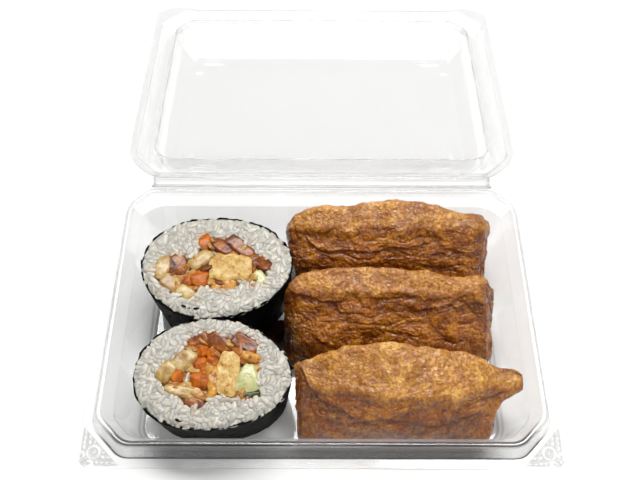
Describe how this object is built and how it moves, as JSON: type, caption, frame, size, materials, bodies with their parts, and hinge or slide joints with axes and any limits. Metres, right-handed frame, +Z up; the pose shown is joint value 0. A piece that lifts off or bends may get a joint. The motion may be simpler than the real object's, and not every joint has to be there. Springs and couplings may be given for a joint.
{
  "type": "takeaway sushi tray",
  "caption": "Clear hinged takeaway tray, lid folded back flat, holding thick rolled-sushi slices beside fried-tofu sushi pouches.",
  "frame": {"origin": "centre of the tray's flat underside", "axes": "+Z up; +Y towards the hinge and the open lid; +X to the right as seen from the front, along the hinge"},
  "size_m": [0.16, 0.2295, 0.0347],
  "materials": {
    "clear_plastic": "clear, glossy, thermoformed",
    "nori": "dry dark seaweed sheet",
    "rice": "moist cooked grains",
    "egg": "soft, finely porous",
    "egg_browned": "soft, browned",
    "carrot": "simmered, moist",
    "gourd": "simmered, moist and fibrous",
    "shiitake": "simmered, moist and dark",
    "cucumber": "fresh and moist",
    "cucumber_skin": "waxy dark peel",
    "fried_tofu": "seasoned, oily and wrinkled"
  },
  "bodies": {
    "tray": {"hinge_strip": "clear_plastic", "pouch_back": "fried_tofu", "pouch_front": "fried_tofu", "pouch_middle": "fried_tofu", "roll_back_amber": "egg_browned", "roll_back_carrot_1": "carrot", "roll_back_carrot_2": "carrot", "roll_back_carrot_3": "carrot", "roll_back_cucumber": "cucumber", "roll_back_egg": "egg", "roll_back_gourd_1": "gourd", "roll_back_gourd_2": "gourd", "roll_back_gourd_3": "gourd", "roll_back_gourd_4": "gourd", "roll_back_nori": "nori", "roll_back_rice": "rice", "roll_back_shiitake_1": "shiitake", "roll_back_shiitake_2": "shiitake", "roll_back_shiitake_3": "shiitake", "roll_back_shiitake_4": "shiitake", "roll_front_amber_1": "egg_browned", "roll_front_amber_2": "egg_browned", "roll_front_carrot_1": "carrot", "roll_front_carrot_2": "carrot", "roll_front_carrot_3": "carrot", "roll_front_carrot_4": "carrot", "roll_front_carrot_5": "carrot", "roll_front_carrot_6": "carrot", "roll_front_cucumber": "cucumber", "roll_front_cucumber_skin": "cucumber_skin", "roll_front_egg": "egg", "roll_front_gourd_1": "gourd", "roll_front_gourd_2": "gourd", "roll_front_gourd_3": "gourd", "roll_front_nori": "nori", "roll_front_rice": "rice", "roll_front_shiitake_1": "shiitake", "roll_front_shiitake_2": "shiitake", "roll_front_shiitake_3": "shiitake", "roll_front_shiitake_4": "shiitake", "tray": "clear_plastic"},
    "lid": {"lid": "clear_plastic"}
  },
  "joints": [
    {"name": "lid_hinge", "type": "hinge", "parent": "tray", "child": "lid", "pos_m": [0, 0.05848, 0.02465], "axis": [1, 0, 0], "range_deg": [0, 185.3]}
  ]
}
